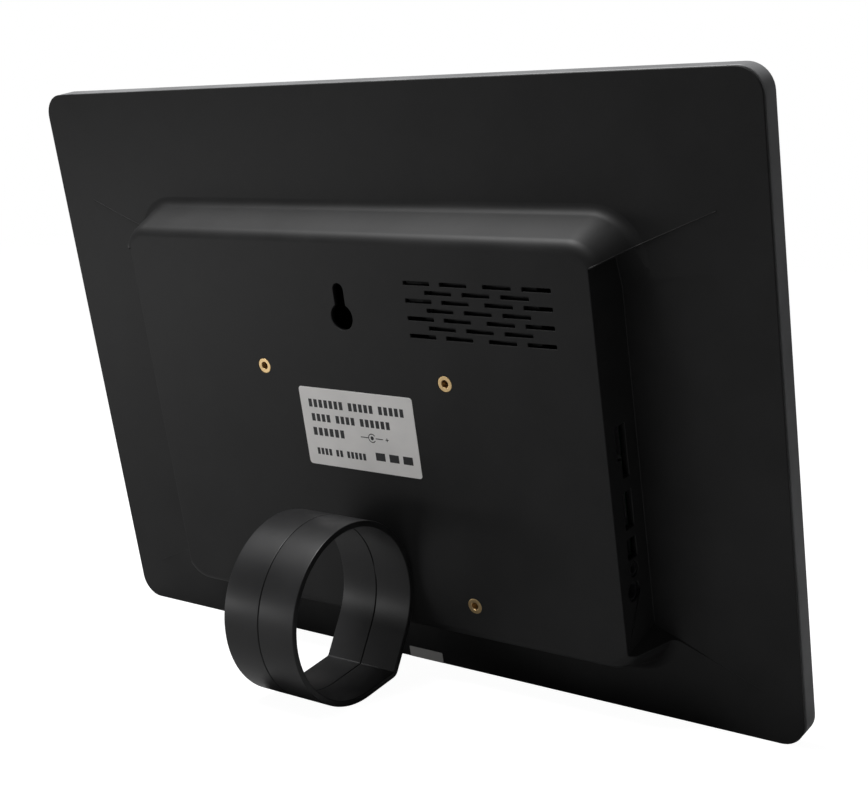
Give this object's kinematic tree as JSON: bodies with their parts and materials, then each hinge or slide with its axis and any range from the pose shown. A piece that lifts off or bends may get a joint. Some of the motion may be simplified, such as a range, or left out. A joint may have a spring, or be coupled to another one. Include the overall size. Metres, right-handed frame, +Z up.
{
  "type": "digital photo frame",
  "caption": "Digital photo frame with a slim dark case, a raised electronics hump with connector and key pockets, screw inserts, a keyhole and a screw-on ring stand.",
  "frame": {"origin": "on the table under the middle of the object's box", "axes": "+X to the viewer's right when looking at the screen, +Y from the screen to the back, +Z up; the frame leans back 14.5 degrees on its ring"},
  "size_m": [0.376, 0.1224, 0.2602],
  "materials": {
    "bezel_plastic": "satin dark grey",
    "screen_glass": "dark, display off",
    "tray_metal": "bare sheet",
    "screw_steel": "zinc plated",
    "sensor_lens": "dark red",
    "cover_plastic": "fine matt grain",
    "insert_brass": "turned",
    "circuit_board": "green solder mask",
    "chip_plastic": "moulded",
    "can_metal": "bare",
    "white_plastic": "moulded",
    "ribbon": "film",
    "socket_metal": "tin plated",
    "speaker_black": "moulded",
    "foam": "matt",
    "wire": "sheath",
    "label_silver": "printed silver film",
    "key_plastic": "matt",
    "ring_plastic": "satin black"
  },
  "bodies": {
    "frame": {"front_bezel": "bezel_plastic", "lcd_glass": "screen_glass", "lcd_backlight": "tray_metal", "lcd_brackets": "tray_metal", "bracket_screws": "screw_steel", "ir_window": "sensor_lens", "rear_cover": "cover_plastic", "vesa_inserts": "insert_brass", "stand_insert": "insert_brass", "main_board": "circuit_board", "board_screws": "screw_steel", "main_chip": "chip_plastic", "memory_chips": "chip_plastic", "capacitors": "can_metal", "power_coils": "chip_plastic", "panel_plug": "white_plastic", "panel_cable": "ribbon", "usb_socket": "socket_metal", "mini_usb_socket": "socket_metal", "hdmi_socket": "socket_metal", "av_jack": "chip_plastic", "headphone_jack": "chip_plastic", "dc_socket": "chip_plastic", "speaker": "speaker_black", "speaker_gasket": "foam", "speaker_wires": "wire", "key_board": "circuit_board", "key_switches": "chip_plastic", "key_cable": "ribbon", "card_board": "circuit_board", "card_socket": "socket_metal", "side_board_screws": "screw_steel", "rating_label": "label_silver", "seal_sticker": "label_silver"},
    "key_power_body": {"key_power": "key_plastic"},
    "key_menu_body": {"key_menu": "key_plastic"},
    "key_exit_body": {"key_exit": "key_plastic"},
    "key_up_body": {"key_up": "key_plastic"},
    "key_down_body": {"key_down": "key_plastic"},
    "key_left_body": {"key_left": "key_plastic"},
    "key_right_body": {"key_right": "key_plastic"},
    "washer": {"stand_washer": "foam"},
    "ring": {"ring_left": "ring_plastic", "ring_right": "ring_plastic", "ring_dowels": "screw_steel", "stand_stud": "screw_steel"}
  },
  "joints": [
    {"name": "key_power_press", "type": "slide", "parent": "frame", "child": "key_power_body", "axis": [-1, 0, 0], "range_m": [0, 0.0005], "stiffness_N_per_m": 400},
    {"name": "key_menu_press", "type": "slide", "parent": "frame", "child": "key_menu_body", "axis": [-1, 0, 0], "range_m": [0, 0.0005], "stiffness_N_per_m": 400},
    {"name": "key_exit_press", "type": "slide", "parent": "frame", "child": "key_exit_body", "axis": [-1, 0, 0], "range_m": [0, 0.0005], "stiffness_N_per_m": 400},
    {"name": "key_up_press", "type": "slide", "parent": "frame", "child": "key_up_body", "axis": [-1, 0, 0], "range_m": [0, 0.0005], "stiffness_N_per_m": 400},
    {"name": "key_down_press", "type": "slide", "parent": "frame", "child": "key_down_body", "axis": [-1, 0, 0], "range_m": [0, 0.0005], "stiffness_N_per_m": 400},
    {"name": "key_left_press", "type": "slide", "parent": "frame", "child": "key_left_body", "axis": [-1, 0, 0], "range_m": [0, 0.0005], "stiffness_N_per_m": 400},
    {"name": "key_right_press", "type": "slide", "parent": "frame", "child": "key_right_body", "axis": [-1, 0, 0], "range_m": [0, 0.0005], "stiffness_N_per_m": 400},
    {"name": "stand_lift", "type": "slide", "parent": "frame", "child": "washer", "axis": [0, 0.9681, -0.2504], "range_m": [0, 0.00625]},
    {"name": "stand_turn", "type": "hinge", "parent": "washer", "child": "ring", "pos_m": [0, -0.01684, 0.04909], "axis": [0, 0.9681, -0.2504], "range_deg": [0, 2250]}
  ],
  "couplings": [
    {"joint": "stand_lift", "follows": "stand_turn", "m_per_rad": 0.00015915}
  ]
}
